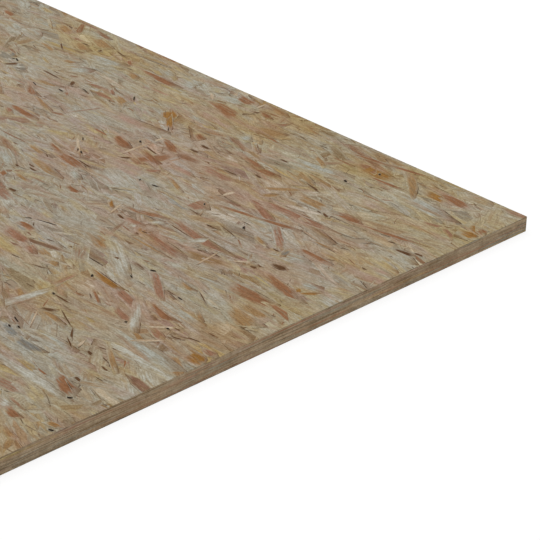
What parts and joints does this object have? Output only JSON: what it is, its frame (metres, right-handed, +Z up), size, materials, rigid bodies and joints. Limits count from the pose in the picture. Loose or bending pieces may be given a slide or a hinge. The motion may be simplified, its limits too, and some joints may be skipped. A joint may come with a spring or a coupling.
{
  "type": "oriented strand board panel",
  "caption": "Flat rectangular wood-strand sheet with sawn square edges and overlapping pressed strands on both faces, used for floors, roofs, walls and packing.",
  "frame": {"origin": "middle of the underside", "axes": "+X along the long side and the face strands, +Y across the panel, +Z up out of the top face"},
  "size_m": [2.44, 1.22, 0.018],
  "materials": {
    "osb": "hot-pressed face of pale, honey and brown strands, with browner sawn edges"
  },
  "bodies": {
    "root": {"osb_panel": "osb"}
  },
  "joints": []
}
